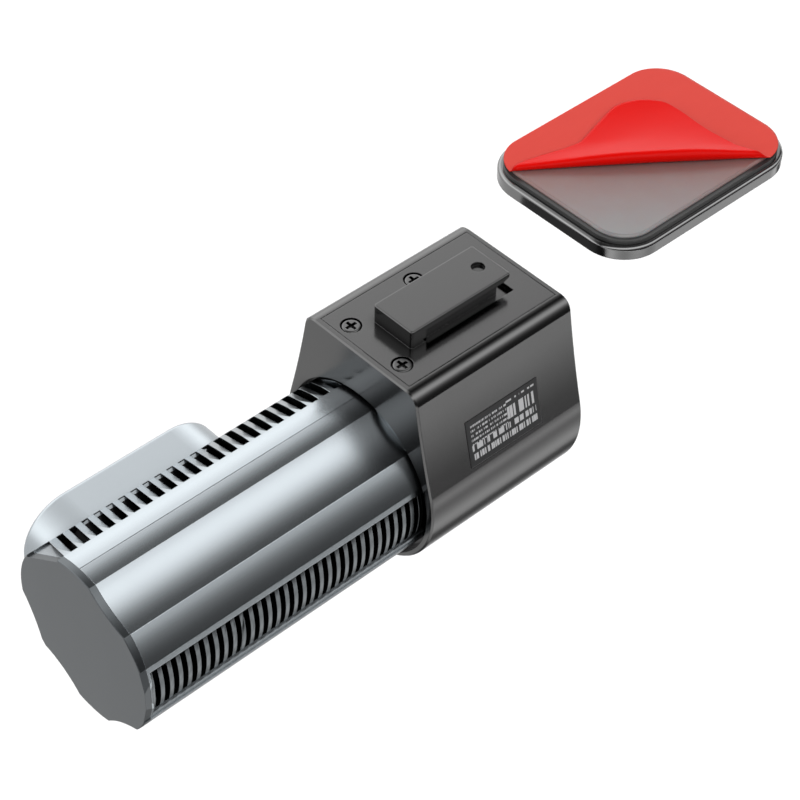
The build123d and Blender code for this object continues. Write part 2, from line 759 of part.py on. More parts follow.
with BuildPart() as front_panel:
    extrude(pod_section(glass_seat, 1.56), amount=-0.9)
    add(disc(glass_seat - 1, lens_x, 7.5, 3), mode=Mode.SUBTRACT)
    add(disc(glass_seat - 1, light_x, 1.05, 3), mode=Mode.SUBTRACT)
    add(disc(glass_seat - 1, microphone_x, 0.6, 3), mode=Mode.SUBTRACT)
finish(front_panel, "front_panel")

with BuildPart() as lens_ring:
    with BuildSketch(facing_lens(glass_seat, lens_x)):
        Circle(7.44)
        Circle(6.2, mode=Mode.SUBTRACT)
    extrude(amount=-1.6)
    rims = lens_ring.faces().sort_by(Axis.Y)[-1].edges().sort_by(SortBy.LENGTH)
    chamfer(rims[0], 0.6)
    fillet(lens_ring.faces().sort_by(Axis.Y)[-1].edges().sort_by(SortBy.LENGTH)[-1], 0.3)
finish(lens_ring, "lens_ring")


def on_lens_axis():
    """Plane through the lens axis: X across the lens and Y forward along its axis."""
    return Plane(origin=(lens_x, 0, axis_z), x_dir=(1, 0, 0), z_dir=(0, 0, 1))


lens_axis = Axis((lens_x, 0, axis_z), (0, 1, 0))


def lens_element(back, front, radius, bulge):
    """Glass element with a flat back and a front face that bulges forward."""
    with BuildPart() as element:
        with BuildSketch(on_lens_axis()):
            with BuildLine():
                crown = ThreePointArc((-radius, front - bulge), (0, front), (radius, front - bulge))
                Polyline(crown @ 1, (radius, back), (-radius, back), crown @ 0)
            make_face()
            split(bisect_by=Plane.YZ)
        revolve(axis=lens_axis)
    return element.part


with BuildPart() as lens_barrel:
    with BuildSketch(on_lens_axis()):
        Polygon(
            (4.4, 4.2), (5.9, 4.2), (5.9, 10.0), (7.0, 10.0), (7.0, lens_mouth), (6.2, lens_mouth),
            (5.85, lens_mouth - 3.9), (4.9, lens_mouth - 6.7), (4.4, lens_mouth - 6.7), align=None,
        )
    revolve(axis=lens_axis)
finish(lens_barrel, "lens_barrel")

with BuildPart() as lens_front_element:
    add(lens_element(lens_mouth - 3.9, lens_mouth - 0.9, 5.6, 1.7))
finish(lens_front_element, "lens_front_element")

with BuildPart() as lens_inner_elements:
    for back, front, bulge in ((12.4, 13.9, 0.6), (9.4, 11.4, 1.0), (6.0, 8.0, 0.8)):
        add(lens_element(back, front, 4.3, bulge))
finish(lens_inner_elements, "lens_inner_elements")

with BuildPart() as lens_holder:
    with BuildSketch(facing_lens(2.0, lens_x)):
        RectangleRounded(16.0, 16.0, 1.0)
        Rectangle(9.4, 9.4, mode=Mode.SUBTRACT)
    extrude(amount=-1.6)
    with BuildSketch(facing_lens(3.6, lens_x)):
        RectangleRounded(16.0, 16.0, 1.0)
        Circle(5.94, mode=Mode.SUBTRACT)
    extrude(amount=-4.4)
    with BuildSketch(facing_lens(2.0, lens_x)):
        with GridLocations(12.6, 12.6, 2, 2):
            Circle(0.75)
    extrude(amount=-4.5, mode=Mode.SUBTRACT)
finish(lens_holder, "lens_holder")

with BuildPart() as sensor_board:
    with BuildSketch(facing_lens(0.8, lens_x)):
        RectangleRounded(22.0, 19.0, 1.2)
        with GridLocations(12.6, 12.6, 2, 2):
            Circle(0.85, mode=Mode.SUBTRACT)
    extrude(amount=-1.2)
finish(sensor_board, "sensor_board")

with BuildPart() as image_sensor:
    with BuildSketch(facing_lens(2.0, lens_x)):
        Rectangle(8.4, 8.0)
    extrude(amount=-1.1)
finish(image_sensor, "image_sensor")

with BuildPart() as sensor_board_screws:
    for side_x in (-6.3, 6.3):
        for side_z in (-6.3, 6.3):
            seat = Plane(
                origin=(lens_x + side_x, 0.8, axis_z + side_z), x_dir=(1, 0, 0), z_dir=(0, -1, 0)
            )
            add(cross_screw(seat, 1.35, 0.7, 0.72, 4.6))
finish(sensor_board_screws, "sensor_board_screws")

with BuildPart() as status_light:
    add(disc(13.5, light_x, 0.98, pod_reach - 0.1 - 13.5))
    add(disc(13.5, light_x, 1.9, 1.0))
finish(status_light, "status_light")

with BuildPart() as microphone:
    add(disc(pod_floor - 1.9, microphone_x, 2.0, 1.9))
finish(microphone, "microphone")

# ---------------------------------------------------------------- main board and what it carries
board_x, board_length, board_height = block_x - 51.2, 53.0, 24.6

with BuildPart() as main_board:
    with BuildSketch(facing_lens(board_back, board_x)):
        RectangleRounded(board_length, board_height, 1.5)
    extrude(amount=board_back - board_front)
    for post_x, post_z in board_post_spots:
        with BuildSketch(Plane(origin=(post_x, board_front, axis_z + post_z), z_dir=(0, -1, 0))):
            Circle(0.9)
        extrude(amount=3, mode=Mode.SUBTRACT)
finish(main_board, "main_board")

with BuildPart() as main_board_screws:
    for post_x, post_z in board_post_spots:
        seat = Plane(
            origin=(post_x, board_front, axis_z + post_z), x_dir=(1, 0, 0), z_dir=(0, 1, 0)
        )
        add(cross_screw(seat, 1.5, 0.8, 0.72, 5.4))
finish(main_board_screws, "main_board_screws")

with BuildPart() as processor:
    with BuildSketch(facing_lens(board_back, block_x - 60.0)):
        Rectangle(13.0, 13.0)
    extrude(amount=1.2)
finish(processor, "processor")

with BuildPart() as heat_sink:
    with BuildSketch(facing_lens(board_back - 1.2, block_x - 54.0)):
        Rectangle(38.0, 14.0)
    extrude(amount=1.2)
    with BuildSketch(facing_lens(board_back - 2.4, block_x - 54.0)):
        with GridLocations(3.6, 0, 11, 1):
            Rectangle(1.0, 13.0)
    extrude(amount=2.8)
finish(heat_sink, "heat_sink")

with BuildPart() as speaker:
    with BuildSketch(facing_lens(board_front, block_x - 34.4)):
        Circle(6.4)
    extrude(amount=-3.4)
    fillet(speaker.faces().sort_by(Axis.Y)[-1].edges(), 0.6)
    with BuildSketch(facing_lens(board_front + 3.4, block_x - 34.4)):
        Circle(4.6)
        Circle(2.0, mode=Mode.SUBTRACT)
    extrude(amount=0.5, mode=Mode.SUBTRACT)
finish(speaker, "speaker")

with BuildPart() as link_socket:
    with BuildSketch(facing_lens(board_front, block_x - 26.9)):
        Rectangle(1.6, 6.0)
    extrude(amount=-5.5)
finish(link_socket, "link_socket")

with BuildPart() as sensor_flex:
    with BuildSketch(Plane(origin=(0, 0, axis_z), x_dir=(1, 0, 0), z_dir=(0, 0, 1))):
        with BuildLine() as flex_line:
            FilletPolyline(
                (lens_x - 8.9, 0.65),
                (lens_x - 15.0, 0.65),
                (lens_x - 15.0, board_front + 0.1),
                (lens_x - 9.5, board_front + 0.1),
                radius=1.8,
            )
            offset(amount=0.1, side=Side.BOTH)
        make_face()
    extrude(amount=4.0, both=True)
finish(sensor_flex, "sensor_flex")

# ---------------------------------------------------------------- memory card and its socket
card_width, card_length, card_thickness = 11.0, 15.0, 0.9
card_bottom = axis_z - 17.0

with BuildPart() as card_socket:
    with BuildSketch(level(axis_z - 12.2, card_x)):
        with Locations((0, card_y)):
            Rectangle(14.4, 1.8)
    extrude(amount=11.5)
    with BuildSketch(level(axis_z - 12.2, card_x)):
        with Locations((0, card_y)):
            Rectangle(card_width + 0.3, card_thickness + 0.3)
    extrude(amount=10.6, mode=Mode.SUBTRACT)
finish(card_socket, "card_socket")

with BuildPart() as memory_card:
    card_plane = Plane(
        origin=(card_x, card_y + card_thickness / 2, card_bottom), x_dir=(1, 0, 0), z_dir=(0, -1, 0)
    )
    with BuildSketch(card_plane):
        with BuildLine():
            Polyline(
                (-5.5, 0), (5.5, 0), (5.5, 8.6), (4.9, 9.4), (4.9, 15.0), (-5.5, 15.0), close=True
            )
        make_face()
    extrude(amount=card_thickness)
    fillet(memory_card.edges().filter_by(Axis.Y).group_by(Axis.Z)[0], 0.6)
finish(memory_card, "memory_card")
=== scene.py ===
"""Looks of the dash camera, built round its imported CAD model. Everything is in metres."""

import json
import math

import bmesh
import bpy
from mathutils import Matrix, Vector


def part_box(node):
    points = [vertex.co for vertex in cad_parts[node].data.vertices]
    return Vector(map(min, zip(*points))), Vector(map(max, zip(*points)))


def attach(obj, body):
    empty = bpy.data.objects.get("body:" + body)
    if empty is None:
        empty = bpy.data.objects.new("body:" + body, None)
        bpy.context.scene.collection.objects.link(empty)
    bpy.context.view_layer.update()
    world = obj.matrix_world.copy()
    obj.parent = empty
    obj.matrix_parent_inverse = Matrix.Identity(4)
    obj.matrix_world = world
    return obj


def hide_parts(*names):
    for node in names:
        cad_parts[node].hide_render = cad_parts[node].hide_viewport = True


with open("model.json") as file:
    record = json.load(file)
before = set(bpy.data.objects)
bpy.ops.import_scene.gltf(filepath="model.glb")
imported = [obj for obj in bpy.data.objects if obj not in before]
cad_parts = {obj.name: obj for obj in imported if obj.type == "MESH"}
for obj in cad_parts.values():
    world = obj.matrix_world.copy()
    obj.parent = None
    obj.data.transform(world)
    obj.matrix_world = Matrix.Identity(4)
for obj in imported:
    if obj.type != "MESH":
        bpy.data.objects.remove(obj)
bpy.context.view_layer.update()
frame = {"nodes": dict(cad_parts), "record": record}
nodes = frame["nodes"]

MM = 0.001
COOL = (0.92, 1.0, 1.055)
NEUTRAL = (1.0, 1.0, 1.0)
STEEL = (1.0, 0.99, 0.97)
BRASS = (1.0, 0.76, 0.42)
ALUMINIUM = (0.97, 0.98, 1.0)

NOISE_ROUGHNESS = 0.55
EDGE_ROUNDING = 0.16 * MM       # how far a corner's softness reaches
WEAR_REACH = 0.25 * MM          # how far from an edge the paint rubs off
WEAR_TURN = (0.99, 0.80)        # cosine between rounded and flat direction: no wear, full wear
# painted shade: metallic_paint darkens its colour in grooves and slots by ambient occlusion over this reach
# and range
GROOVE_OPENNESS = (0.35, 0.9)   # share of open sky: deep in a groove, out on a face
GROOVE_REACH = 2.2 * MM

BARREL_AXIS_Z = -36.95 * MM
SHELL_INSIDE = 15.7 * MM        # nearer the barrel's axis than this its colour is near black, as painted shade
POD_INSIDE = 17.3 * MM          # the same for the lens pod, where it leaves the barrel
FIN_RADIUS = 17.15 * MM         # the grille's fins lie nearer the axis than this
FIN_SIDE_Y = -15.9 * MM         # and further out to the side than this
FIN_UNSHADED_SHARE = 0.42                # share of the paint's colour they keep; the rest is painted shade
# near black that metallic_paint mixes its colour towards, as painted shade
PAINTED_SHADE_BLACK = 0.008

# Release film, lying flat: (length, width) and corner radius
LINER_SIZE = (47.8 * MM, 35.8 * MM)
LINER_CORNER = 7.65 * MM
FILM_THICKNESS = 0.06 * MM
FILM_HEIGHT = 0.10 * MM         # its middle above the pad's face
# Its near corner is peeled up, rolled over along this line and laid back on the rest
FOLD_START, FOLD_END = Vector((-24.0, 12.4)) * MM, Vector((16.0, -17.0)) * MM
FOLD_ALONG = (FOLD_END - FOLD_START).normalized()
FOLD_NORMAL = Vector((-FOLD_ALONG.y, FOLD_ALONG.x))
FOLD_LENGTH, FOLD_BOW = 50 * MM, 0.6 * MM
ROLL_RADIUS = 0.95 * MM
# Behind the roll the flap comes down onto the film, with a slight ripple and a curled tip
FLAP_LENGTH, FLAP_CURL = 19 * MM, 0.5 * MM
FLAP_REST, FLAP_SETTLE = 0.42 * MM, 6 * MM
RIPPLE, RIPPLE_PACE = 0.10 * MM, 4.3 * MM
FLAP_SWEEP, SWEEP_DONE = 9 * MM, 7 * MM     # its left side leans this far along the fold by here
FLAP_LEAN, LEAN_START = 0.74, 2.4 * MM      # its right side leans at this rate from here

FLOOR_DROP, FLOOR_SIZE, FLOOR_GLOW = 0.25, 2.6, 0.15
BACKDROP = 0.95
# Brightness of the studio round the X axis: degrees from straight up towards -Y, and radiance
STUDIO = (
    (-180, 0.12), (-168, 0.3), (-156, 0.8), (-120, 0.9), (-95, 1.0), (-78, 1.7),
    (-62, 2.3), (-50, 2.0), (-38, 1.38), (-30, 0.62), (-20, 0.16), (-8, 0.04),
    (2, 0.12), (12, 0.5), (23, 1.5), (33, 2.15), (44, 2.15), (52, 1.5),
    (60, 0.75), (73, 0.28), (88, 0.10), (116, 0.04), (119, 0.3), (123, 1.8),
    (127, 1.3), (134, 0.7), (156, 1.3), (166, 0.9), (171, 0.2), (180, 0.12),
)

# The photograph's viewing angle. Lens and sensor are in millimetres
CAMERA_PLACE = (-0.27254, -0.21948, 0.27140)
CAMERA_RIGHT, CAMERA_UP = (0.7348, -0.6780, 0.0193), (0.4645, 0.5238, 0.7140)
CAMERA_LENS, SENSOR_WIDTH = 103.05, 36


# ---------------------------------------------------------------- shader building
class Shader:
    """A node material with one Principled surface, and short calls for the nodes it needs."""

    def __init__(self, name, **settings):
        self.material = bpy.data.materials.new(name)
        self.material.use_nodes = True
        self.tree = self.material.node_tree
        self.surface = self.tree.nodes["Principled BSDF"]
        self.coords = None
        for key, value in settings.items():
            self.surface.inputs[key.replace("_", " ")].default_value = value
        self.link(self.rounded(EDGE_ROUNDING, 6), self.surface.inputs["Normal"])

    def node(self, kind, **settings):
        """A new node of that kind."""
        made = self.tree.nodes.new(kind)
        for key, value in settings.items():
            setattr(made, key, value)
        return made

    def link(self, value, socket):
        """Puts a value, a colour or another node's output into a socket."""
        if isinstance(value, bpy.types.NodeSocket):
            self.tree.links.new(value, socket)
        else:
            socket.default_value = value

    def place(self, scale=(1.0, 1.0, 1.0)):
        """Object coordinates in metres, stretched by scale."""
        if self.coords is None:
            self.coords = self.node("ShaderNodeTexCoord").outputs["Object"]
        mapping = self.node("ShaderNodeMapping")
        mapping.inputs["Scale"].default_value = scale
        self.link(self.coords, mapping.inputs["Vector"])
        return mapping.outputs["Vector"]

    def noise(self, size, detail=4.0, stretch=(1.0, 1.0, 1.0)):
        """Noise whose largest features are about size metres across, from 0 to 1."""
        texture = self.node("ShaderNodeTexNoise")
        self.link(self.place(stretch), texture.inputs["Vector"])
        texture.inputs["Scale"].default_value = 1.0 / size
        texture.inputs["Detail"].default_value = detail
        texture.inputs["Roughness"].default_value = NOISE_ROUGHNESS
        return texture.outputs["Fac"]

    def cells(self, size):
        """Distance to the middle of random cells about size metres across."""
        texture = self.node("ShaderNodeTexVoronoi")
        self.link(self.place(), texture.inputs["Vector"])
        texture.inputs["Scale"].default_value = 1.0 / size
        return texture.outputs["Distance"]

    def spread(self, value, low, high, start=0.0, end=1.0):
        """Maps value from start..end onto low..high."""
        mapped = self.node("ShaderNodeMapRange")
        self.link(value, mapped.inputs["Value"])
        for key, number in (("From Min", start), ("From Max", end), ("To Min", low), ("To Max", high)):
            mapped.inputs[key].default_value = number
        return mapped.outputs["Result"]

    def math(self, operation, first, second=0.0):
        """One arithmetic step."""
        made = self.node("ShaderNodeMath", operation=operation)
        self.link(first, made.inputs[0])
        self.link(second, made.inputs[1])
        return made.outputs[0]

    def mix(self, amount, first, second):
        """Blends two colours."""
        made = self.node("ShaderNodeMix", data_type="RGBA")
        self.link(amount, made.inputs["Factor"])
        self.link(first, made.inputs["A"])
        self.link(second, made.inputs["B"])
        return made.outputs["Result"]

    def position(self, axis):
        """One of the object coordinates, in metres."""
        split = self.node("ShaderNodeSeparateXYZ")
        self.link(self.place(), split.inputs["Vector"])
        return split.outputs[axis]

    def rounded(self, radius, samples):
        """The surface's direction, bending softly over radius at every corner."""
        rounding = self.node("ShaderNodeBevel", samples=samples)
        rounding.inputs["Radius"].default_value = radius
        return rounding.outputs["Normal"]

    def edges(self):
        """0 on smooth faces and up to 1 close to an edge."""
        turn = self.node("ShaderNodeVectorMath", operation="DOT_PRODUCT")
        self.link(self.rounded(WEAR_REACH, 4), turn.inputs[0])
        self.link(self.node("ShaderNodeNewGeometry").outputs["Normal"], turn.inputs[1])
        return self.spread(turn.outputs["Value"], 0, 1, *WEAR_TURN)

    def openness(self, reach, low):
        """1 out in the open, down to low in grooves and slots narrower than reach."""
        made = self.node("ShaderNodeAmbientOcclusion", samples=6)
        made.inputs["Distance"].default_value = reach
        return self.spread(made.outputs["AO"], low, 1, *GROOVE_OPENNESS)

    def bump(self, height, depth):
        """Adds surface relief of about depth metres on top of the softened edges."""
        made = self.node("ShaderNodeBump")
        made.inputs["Strength"].default_value = 1.0
        made.inputs["Distance"].default_value = depth
        self.link(height, made.inputs["Height"])
        socket = self.surface.inputs["Normal"]
        self.link(socket.links[0].from_socket, made.inputs["Normal"])
        self.link(made.outputs["Normal"], socket)

    def set(self, name, value):
        """Sets or links one input of the surface."""
        self.link(value, self.surface.inputs[name])


def rgb(level, tint=(1.0, 1.0, 1.0)):
    """A grey of that linear level with a tint."""
    return tuple(level * part for part in tint) + (1.0,)


def moulded(name, dark, light, roughness, grain=0.25 * MM, depth=0.006 * MM, wear=0.0, **settings):
    """Moulded or painted surface: fine grain, faint mottling, gloss that varies, rubbed edges."""
    shader = Shader(name, **settings)
    mottle = shader.noise(9 * MM, 5)
    colour = shader.mix(mottle, dark, light)
    if wear:
        patches = shader.spread(shader.noise(2.2 * MM, 6), -0.2, wear)
        rubbed = shader.math("MULTIPLY", shader.edges(), patches)
        pale = tuple(min(1.0, part * 1.9 + 0.02) for part in light[:3]) + (1.0,)
        colour = shader.mix(shader.math("MAXIMUM", rubbed, 0.0), colour, pale)
    shader.set("Base Color", colour)
    fine = shader.noise(grain, 2)
    smears = shader.noise(14 * MM, 6, stretch=(1.0, 2.5, 1.0))
    smears = shader.spread(smears, -0.014, 0.014)
    rough = shader.math("ADD", smears, shader.spread(fine, -0.02, 0.02))
    shader.set("Roughness", shader.math("ADD", rough, roughness))
    shader.bump(fine, depth)
    return shader


# ---------------------------------------------------------------- materials
def metallic_paint(
    name, level, roughness, wear=0.5, grain=0.12 * MM, tint=COOL, groove=0.3, shaded_inside=0.0, shaded_fins=False
):
    """Metallic paint on plastic. It reflects the studio in its own grey, and in grooves its colour
    is darkened towards black as painted shade.

    Given an inside radius, the surface nearer the barrel's axis is near black as painted shade
    in the hollow, and the fins flag gives the set-back fins of the grille painted shade.
    """
    dark, light = rgb(level * 0.98, tint), rgb(level * 1.02, tint)
    shader = moulded(name, dark, light, roughness, grain, 0.0035 * MM, wear, Metallic=1.0)
    painted = shader.surface.inputs["Base Color"].links[0].from_socket
    # painted shade: the colour goes towards near black in grooves and slots, by ambient occlusion
    amount = shader.openness(GROOVE_REACH, groove)
    # painted shade: nearer the barrel's axis than the given radius the colour is near black
    if shaded_inside:
        height = shader.math("SUBTRACT", shader.position("Z"), BARREL_AXIS_Z)
        square = shader.math("MULTIPLY", height, height)
        square = shader.math("ADD", square, shader.math("POWER", shader.position("Y"), 2.0))
        outside = shader.math("GREATER_THAN", square, shaded_inside**2)
        amount = shader.math("MULTIPLY", amount, outside)
    # painted shade: the grille's set-back fins keep only part of the paint's colour
    if shaded_fins:
        set_back = shader.math("LESS_THAN", square, FIN_RADIUS**2)
        far_out = shader.math("LESS_THAN", shader.position("Y"), FIN_SIDE_Y)
        fin = shader.math("MULTIPLY", set_back, far_out)
        amount = shader.math("MULTIPLY", amount, shader.spread(fin, 1.0, FIN_UNSHADED_SHARE))
    shader.set("Base Color", shader.mix(amount, rgb(PAINTED_SHADE_BLACK), painted))
    return shader.material


def black_gloss():
    """Smoked acrylic panel over the lens pod."""
    shader = moulded("black_gloss", rgb(0.004), rgb(0.006), 0.09, 0.6 * MM, 0.0004 * MM)
    shader.surface.inputs["Coat Weight"].default_value = 0.6
    shader.surface.inputs["Coat Roughness"].default_value = 0.03
    return shader.material


def metal(name, tone, roughness, grain, direction=(1.0, 1.0, 1.0)):
    """Bare metal with fine marks drawn out along one direction."""
    shader = Shader(name, Metallic=1.0)
    marks = shader.noise(grain, 3, stretch=direction)
    stain = shader.noise(5 * MM, 4)
    shader.set("Base Color", shader.mix(stain, rgb(0.52, tone), rgb(0.70, tone)))
    both = shader.math("ADD", marks, stain)
    shader.set("Roughness", shader.spread(both, roughness - 0.08, roughness + 0.12, 0, 2))
    shader.bump(marks, 0.004 * MM)
    return shader.material


def circuit_board():
    """Green solder mask over copper tracks, with bare pads here and there."""
    shader = Shader("circuit_board")
    track = shader.node("ShaderNodeTexBrick", offset=0.37, offset_frequency=3)
    shader.link(shader.place(), track.inputs["Vector"])
    sizes = {"Scale": 220.0, "Mortar Size": 0.06, "Brick Width": 1.9, "Row Height": 0.45}
    for key, number in sizes.items():
        track.inputs[key].default_value = number
    lines = track.outputs["Fac"]
    pads = shader.spread(shader.cells(1.7 * MM), 1, 0, 0.16, 0.20)
    mask = shader.mix(lines, (0.008, 0.070, 0.030, 1), (0.016, 0.125, 0.055, 1))
    shader.set("Base Color", shader.mix(pads, mask, (0.72, 0.62, 0.40, 1)))
    shader.set("Metallic", pads)
    shader.set("Roughness", shader.spread(shader.noise(3 * MM), 0.22, 0.40))
    shader.bump(lines, 0.03 * MM)
    return shader.material


def capacitor_sleeve():
    """Shrunk plastic sleeve with the pale polarity stripe along one side."""
    shader = Shader("capacitor_sleeve")
    side = shader.math("ABSOLUTE", shader.position("Y"))
    stripe = shader.spread(side, 0, 1, 7.1 * MM, 7.2 * MM)
    shader.set("Base Color", shader.mix(stripe, (0.012, 0.014, 0.035, 1), (0.42, 0.43, 0.45, 1)))
    shader.set("Roughness", shader.spread(shader.noise(2 * MM), 0.24, 0.42))
    shader.bump(shader.noise(1.2 * MM, 5), 0.02 * MM)
    return shader.material


def flex_film():
    """Amber polyimide film over copper lines that run along it."""
    shader = Shader("flex_film")
    lines = shader.math("PINGPONG", shader.position("Z"), 0.25 * MM)
    copper = shader.spread(lines, 0, 1, 0.10 * MM, 0.14 * MM)
    shader.set("Base Color", shader.mix(copper, (0.30, 0.11, 0.015, 1), (0.62, 0.30, 0.10, 1)))
    shader.set("Roughness", shader.spread(shader.noise(2 * MM), 0.2, 0.35))
    shader.bump(copper, 0.01 * MM)
    return shader.material


def label_film():
    """Black foil label with rows of plain pale bars inside a margin. It has no lettering."""
    low, high = (Vector(corner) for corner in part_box("rating_label"))
    shader = Shader("label_film")
    across, up = shader.position("X"), shader.position("Z")
    margin = 0.9 * MM
    row_shift, gap_share = 7.31, 0.47
    inside = 1.0
    for value, start, end in ((across, low.x, high.x), (up, low.z, high.z)):
        from_start, to_end = shader.math("SUBTRACT", value, start), shader.math("SUBTRACT", end, value)
        gap = shader.math("MINIMUM", from_start, to_end)
        inside = shader.math("MULTIPLY", shader.math("GREATER_THAN", gap, margin), inside)
    middle = (low + high) / 2
    right = shader.math("GREATER_THAN", across, middle.x + 1.0 * MM)
    upper = shader.math("GREATER_THAN", up, middle.z - 0.6 * MM)
    lower = shader.math("SUBTRACT", 1.0, upper)
    fine_rows = shader.math("MULTIPLY", upper, shader.math("SUBTRACT", 1.0, right))
    # each block of rows: where it is, its pitch, how fast its bars change and half their height
    layers = (
        (fine_rows, 1.0 * MM, 900.0, 0.22),
        (lower, 1.9 * MM, 420.0, 0.34),
        (shader.math("MULTIPLY", upper, right), 3.6 * MM, 300.0, 0.36),
    )
    printed = 0.0
    for area, pitch, pace, half_height in layers:
        number = shader.math("DIVIDE", shader.math("SUBTRACT", up, low.z + margin), pitch)
        offset = shader.math("ABSOLUTE", shader.math("SUBTRACT", shader.math("FRACT", number), 0.5))
        lengths = shader.node("ShaderNodeTexNoise", noise_dimensions="2D")
        spot = shader.node("ShaderNodeCombineXYZ")
        shader.link(shader.math("MULTIPLY", across, pace), spot.inputs["X"])
        shader.link(shader.math("MULTIPLY", shader.math("FLOOR", number), row_shift), spot.inputs["Y"])
        shader.link(spot.outputs["Vector"], lengths.inputs["Vector"])
        lengths.inputs["Detail"].default_value = 0.0
        bar = shader.math("MULTIPLY", shader.math("LESS_THAN", offset, half_height), area)
        bar = shader.math("MULTIPLY", bar, shader.math("GREATER_THAN", lengths.outputs["Fac"], gap_share))
        printed = shader.math("ADD", printed, bar)
    printed = shader.math("MULTIPLY", printed, inside)
    shader.set("Base Color", shader.mix(printed, (0.010, 0.010, 0.011, 1), (0.46, 0.46, 0.47, 1)))
    shader.set("Roughness", shader.spread(shader.noise(1.5 * MM), 0.34, 0.48))
    shader.bump(printed, 0.004 * MM)
    return shader.material


def foam_tape():
    """Clear acrylic foam: grey at its bare corner and warmer in colour towards the red film."""
    shader = Shader("foam_tape", Subsurface_Weight=0.25, Subsurface_Scale=1.2 * MM)
    along = shader.math("MULTIPLY", shader.position("X"), FOLD_NORMAL.x)
    across = shader.math("MULTIPLY", shader.position("Y"), FOLD_NORMAL.y)
    depth = shader.math("ADD", shader.math("ADD", along, across), -FOLD_START.dot(FOLD_NORMAL))
    warm = shader.spread(depth, 0, 1, -21 * MM, -2 * MM)
    cloud = shader.math("ADD", warm, shader.spread(shader.noise(6 * MM, 5), -0.15, 0.15))
    shader.set("Base Color", shader.mix(cloud, (0.27, 0.275, 0.28, 1), (0.25, 0.135, 0.125, 1)))
    shader.set("Roughness", shader.spread(shader.noise(4 * MM, 5), 0.27, 0.33))
    shader.bump(shader.noise(0.35 * MM, 3), 0.006 * MM)
    return shader.material


def red_film():
    """Glossy release film. Where it lies on the pad it is paler than where it is folded double."""
    shader = Shader("red_film")
    folded = shader.node("ShaderNodeAttribute", attribute_name="folded").outputs["Fac"]
    streaks = shader.spread(shader.noise(7 * MM, 4, stretch=(1.0, 3.0, 1.0)), 0.0, 0.35)
    single = shader.mix(streaks, (0.72, 0.068, 0.050, 1), (0.62, 0.048, 0.040, 1))
    double = shader.mix(streaks, (0.78, 0.004, 0.002, 1), (0.66, 0.003, 0.002, 1))
    shader.set("Base Color", shader.mix(folded, single, double))
    shader.surface.inputs["Specular IOR Level"].default_value = 0.07
    shader.set("Roughness", shader.spread(shader.noise(5 * MM, 5), 0.16, 0.30))
    shader.bump(shader.noise(3.5 * MM, 3), 0.05 * MM)
    return shader.material


def lens_glass():
    """Coated optical glass."""
    shader = Shader(
        "lens_glass", Transmission_Weight=1.0, IOR=1.52, Thin_Film_Thickness=340.0, Thin_Film_IOR=1.38
    )
    shader.set("Base Color", (0.97, 0.98, 1.0, 1))
    shader.set("Roughness", shader.spread(shader.noise(4 * MM), 0.0, 0.03))
    return shader.material


def clear_plastic():
    """Milky light guide."""
    shader = Shader("clear_plastic", Transmission_Weight=0.6, IOR=1.49)
    haze = shader.noise(1 * MM)
    shader.set("Base Color", shader.mix(haze, (0.80, 0.88, 0.95, 1), (0.90, 0.95, 1.0, 1)))
    shader.set("Roughness", shader.spread(shader.noise(0.5 * MM), 0.25, 0.45))
    return shader.material


# ---------------------------------------------------------------- release liner
def smooth(value):
    """Soft step from 0 to 1 as value goes from 0 to 1."""
    value = min(1.0, max(0.0, value))
    return value * value * (3 - 2 * value)


def fold_film(spot):
    """Place of a point of the flat film after its near corner is rolled over: (point, folded)."""
    offset = spot - FOLD_START
    along = offset.dot(FOLD_ALONG)
    over = -offset.dot(FOLD_NORMAL)
    bow = -FOLD_BOW * math.sin(math.pi * min(1.0, max(0.0, along / FOLD_LENGTH)))
    over -= bow
    # the roll is fullest at the middle of the fold
    opening, closing = smooth(along / (24 * MM)), smooth((along - 34 * MM) / (16 * MM))
    radius = ROLL_RADIUS * (0.55 + 0.75 * opening - 0.55 * closing)
    if over <= 0:
        return Vector((*spot, FILM_HEIGHT)), 0.0
    edge = FOLD_START + FOLD_ALONG * along - FOLD_NORMAL * bow
    roll = over / radius
    if roll < math.pi:
        place = edge - FOLD_NORMAL * radius * math.sin(roll)
        return Vector((*place, FILM_HEIGHT + radius * (1 - math.cos(roll)))), min(1.0, roll / 1.2)
    back = over - math.pi * radius
    # the flap leans along the fold: at once at its left side, and little by little at its right
    left = FLAP_SWEEP * smooth(back / SWEEP_DONE)
    right = FLAP_LEAN * max(0.0, back - LEAN_START)
    side = smooth((along - 10 * MM) / (22 * MM))
    sweep = left + (right - left) * side
    rest = FLAP_REST + RIPPLE * math.sin(along / RIPPLE_PACE)
    lift = (FILM_HEIGHT + 2 * radius - rest) * math.exp(-back / FLAP_SETTLE)
    curl = FLAP_CURL * max(0.0, back / FLAP_LENGTH) ** 3
    place = edge + FOLD_ALONG * sweep + FOLD_NORMAL * back
    return Vector((*place, rest + lift + curl)), 1.0


